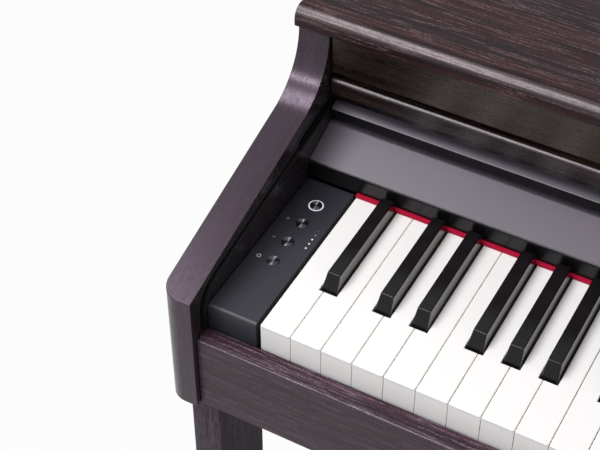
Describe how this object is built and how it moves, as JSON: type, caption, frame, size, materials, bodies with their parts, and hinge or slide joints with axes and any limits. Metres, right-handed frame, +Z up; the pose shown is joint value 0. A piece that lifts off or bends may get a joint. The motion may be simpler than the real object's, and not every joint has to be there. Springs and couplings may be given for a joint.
{
  "type": "digital piano on stand",
  "caption": "Digital piano in a wooden cabinet on its own stand, with hinged keys, sliding key lid, buttons, folding music rest and pedals.",
  "frame": {"origin": "on the floor, under the middle of the instrument's bounding box", "axes": "+X along the keyboard towards the treble end, -Y towards the player, +Z up"},
  "size_m": [1.36, 0.413, 1.0191],
  "materials": {
    "rosewood_veneer": "dark rosewood veneer, satin",
    "black_board": "black laminate",
    "black_moulding": "fine texture",
    "slate_moulding": "satin dark grey",
    "satin_panel": "satin metallic grey",
    "gloss_black": "high gloss",
    "red_felt": "wool felt",
    "steel_frame": "painted",
    "steel_rod": "plated",
    "circuit_board": "green solder mask",
    "lamp_lens": "lit white lens",
    "black_steel": "black paint",
    "rubber_glide": "moulded",
    "brass_pedal": "polished",
    "brass_hinge": "satin",
    "speaker_driver": "black",
    "spun_metal": "spun, black anodised",
    "white_key": "satin gloss",
    "black_key": "satin"
  },
  "bodies": {
    "cabinet": {"left_side_panel": "rosewood_veneer", "right_side_panel": "rosewood_veneer", "top_board": "rosewood_veneer", "upper_front_panel": "rosewood_veneer", "key_slip": "rosewood_veneer", "left_front_leg": "rosewood_veneer", "right_front_leg": "rosewood_veneer", "left_stand_side": "rosewood_veneer", "right_stand_side": "rosewood_veneer", "left_foot": "rosewood_veneer", "right_foot": "rosewood_veneer", "back_board": "rosewood_veneer", "pedal_box": "rosewood_veneer", "rear_panel": "black_board", "key_bed": "black_board", "left_lid_track": "black_moulding", "right_lid_track": "black_moulding", "left_control_block": "slate_moulding", "right_control_block": "slate_moulding", "name_board": "satin_panel", "key_felt": "red_felt", "key_frame": "steel_frame", "button_board": "circuit_board", "main_circuit_board": "circuit_board", "indicator_lamps": "lamp_lens", "connector_panel": "black_moulding", "headphone_box": "black_moulding", "headphone_hook": "steel_rod", "rear_screws": "black_steel", "floor_glides": "rubber_glide", "music_rest_hinges": "brass_hinge", "left_speaker": "speaker_driver", "right_speaker": "speaker_driver", "left_speaker_grille": "black_steel", "right_speaker_grille": "black_steel"},
    "lid": {"lid_board": "rosewood_veneer", "lid_grip": "gloss_black"},
    "lid_shaft": {"lid_shaft": "steel_rod"},
    "function_button": {"function_button": "spun_metal"},
    "volume_down_button": {"volume_down_button": "spun_metal"},
    "volume_up_button": {"volume_up_button": "spun_metal"},
    "power_button": {"power_button": "spun_metal"},
    "left_pedal": {"left_pedal": "brass_pedal"},
    "middle_pedal": {"middle_pedal": "brass_pedal"},
    "right_pedal": {"right_pedal": "brass_pedal"},
    "pedal_adjuster": {"pedal_adjuster": "black_moulding"},
    "music_rest": {"music_rest": "rosewood_veneer"},
    "music_rest_stay": {"music_rest_stay": "black_steel"},
    "keys_c": {"keys_c": "white_key"},
    "keys_c_sharp": {"keys_c_sharp": "black_key"},
    "keys_d": {"keys_d": "white_key"},
    "keys_d_sharp": {"keys_d_sharp": "black_key"},
    "keys_e": {"keys_e": "white_key"},
    "keys_f": {"keys_f": "white_key"},
    "keys_f_sharp": {"keys_f_sharp": "black_key"},
    "keys_g": {"keys_g": "white_key"},
    "keys_g_sharp": {"keys_g_sharp": "black_key"},
    "keys_a": {"keys_a": "white_key"},
    "keys_a_sharp": {"keys_a_sharp": "black_key"},
    "keys_b": {"keys_b": "white_key"}
  },
  "joints": [
    {"name": "lid_slide", "type": "slide", "parent": "cabinet", "child": "lid", "axis": [0, -0.9848, -0.1736], "range_m": [0, 0.18999]},
    {"name": "lid_shaft_roll", "type": "hinge", "parent": "lid", "child": "lid_shaft", "pos_m": [0, 0.1809, 0.81177], "axis": [1, 0, 0], "range_deg": [0, 1911]},
    {"name": "function_button_press", "type": "slide", "parent": "cabinet", "child": "function_button", "axis": [0, 0, -1], "range_m": [0, 0.001], "stiffness_N_per_m": 300, "springref_m": -0.001},
    {"name": "volume_down_button_press", "type": "slide", "parent": "cabinet", "child": "volume_down_button", "axis": [0, 0, -1], "range_m": [0, 0.001], "stiffness_N_per_m": 300, "springref_m": -0.001},
    {"name": "volume_up_button_press", "type": "slide", "parent": "cabinet", "child": "volume_up_button", "axis": [0, 0, -1], "range_m": [0, 0.001], "stiffness_N_per_m": 300, "springref_m": -0.001},
    {"name": "power_button_press", "type": "slide", "parent": "cabinet", "child": "power_button", "axis": [0, 0, -1], "range_m": [0, 0.001], "stiffness_N_per_m": 300, "springref_m": -0.001},
    {"name": "keys_c_press", "type": "hinge", "parent": "cabinet", "child": "keys_c", "pos_m": [0, 0.0455, 0.7125], "axis": [1, 0, 0], "range_deg": [0, 2.5], "stiffness_Nm_per_rad": 30, "springref_deg": -5.16},
    {"name": "keys_c_sharp_press", "type": "hinge", "parent": "cabinet", "child": "keys_c_sharp", "pos_m": [0, 0.0455, 0.7125], "axis": [1, 0, 0], "range_deg": [0, 2.5], "stiffness_Nm_per_rad": 20, "springref_deg": -2.86},
    {"name": "keys_d_press", "type": "hinge", "parent": "cabinet", "child": "keys_d", "pos_m": [0, 0.0455, 0.7125], "axis": [1, 0, 0], "range_deg": [0, 2.5], "stiffness_Nm_per_rad": 30, "springref_deg": -5.16},
    {"name": "keys_d_sharp_press", "type": "hinge", "parent": "cabinet", "child": "keys_d_sharp", "pos_m": [0, 0.0455, 0.7125], "axis": [1, 0, 0], "range_deg": [0, 2.5], "stiffness_Nm_per_rad": 20, "springref_deg": -2.86},
    {"name": "keys_e_press", "type": "hinge", "parent": "cabinet", "child": "keys_e", "pos_m": [0, 0.0455, 0.7125], "axis": [1, 0, 0], "range_deg": [0, 2.5], "stiffness_Nm_per_rad": 30, "springref_deg": -5.16},
    {"name": "keys_f_press", "type": "hinge", "parent": "cabinet", "child": "keys_f", "pos_m": [0, 0.0455, 0.7125], "axis": [1, 0, 0], "range_deg": [0, 2.5], "stiffness_Nm_per_rad": 30, "springref_deg": -5.16},
    {"name": "keys_f_sharp_press", "type": "hinge", "parent": "cabinet", "child": "keys_f_sharp", "pos_m": [0, 0.0455, 0.7125], "axis": [1, 0, 0], "range_deg": [0, 2.5], "stiffness_Nm_per_rad": 20, "springref_deg": -2.86},
    {"name": "keys_g_press", "type": "hinge", "parent": "cabinet", "child": "keys_g", "pos_m": [0, 0.0455, 0.7125], "axis": [1, 0, 0], "range_deg": [0, 2.5], "stiffness_Nm_per_rad": 30, "springref_deg": -5.16},
    {"name": "keys_g_sharp_press", "type": "hinge", "parent": "cabinet", "child": "keys_g_sharp", "pos_m": [0, 0.0455, 0.7125], "axis": [1, 0, 0], "range_deg": [0, 2.5], "stiffness_Nm_per_rad": 20, "springref_deg": -2.86},
    {"name": "keys_a_press", "type": "hinge", "parent": "cabinet", "child": "keys_a", "pos_m": [0, 0.0455, 0.7125], "axis": [1, 0, 0], "range_deg": [0, 2.5], "stiffness_Nm_per_rad": 30, "springref_deg": -5.16},
    {"name": "keys_a_sharp_press", "type": "hinge", "parent": "cabinet", "child": "keys_a_sharp", "pos_m": [0, 0.0455, 0.7125], "axis": [1, 0, 0], "range_deg": [0, 2.5], "stiffness_Nm_per_rad": 20, "springref_deg": -2.86},
    {"name": "keys_b_press", "type": "hinge", "parent": "cabinet", "child": "keys_b", "pos_m": [0, 0.0455, 0.7125], "axis": [1, 0, 0], "range_deg": [0, 2.5], "stiffness_Nm_per_rad": 30, "springref_deg": -5.16},
    {"name": "left_pedal_press", "type": "hinge", "parent": "cabinet", "child": "left_pedal", "pos_m": [0, 0.1555, 0.07], "axis": [1, 0, 0], "range_deg": [0, 8], "stiffness_Nm_per_rad": 12, "springref_deg": -5.73},
    {"name": "middle_pedal_press", "type": "hinge", "parent": "cabinet", "child": "middle_pedal", "pos_m": [0, 0.1555, 0.07], "axis": [1, 0, 0], "range_deg": [0, 8], "stiffness_Nm_per_rad": 12, "springref_deg": -5.73},
    {"name": "right_pedal_press", "type": "hinge", "parent": "cabinet", "child": "right_pedal", "pos_m": [0, 0.1555, 0.07], "axis": [1, 0, 0], "range_deg": [0, 8], "stiffness_Nm_per_rad": 12, "springref_deg": -5.73},
    {"name": "pedal_adjuster_screw", "type": "slide", "parent": "cabinet", "child": "pedal_adjuster", "axis": [0, 0, 1], "range_m": [0, 0.01]},
    {"name": "music_rest_fold", "type": "hinge", "parent": "cabinet", "child": "music_rest", "pos_m": [0, 0.0275, 0.86248], "axis": [-1, 0, 0], "range_deg": [0, 61]},
    {"name": "music_rest_stay_fold", "type": "hinge", "parent": "music_rest", "child": "music_rest_stay", "pos_m": [0, 0.05507, 0.9163], "axis": [1, 0, 0], "range_deg": [0, 122]}
  ],
  "couplings": [
    {"joint": "lid_shaft_roll", "follows": "lid_slide", "rad_per_m": 175.44},
    {"joint": "music_rest_stay_fold", "follows": "music_rest_fold", "ratio": 2}
  ]
}
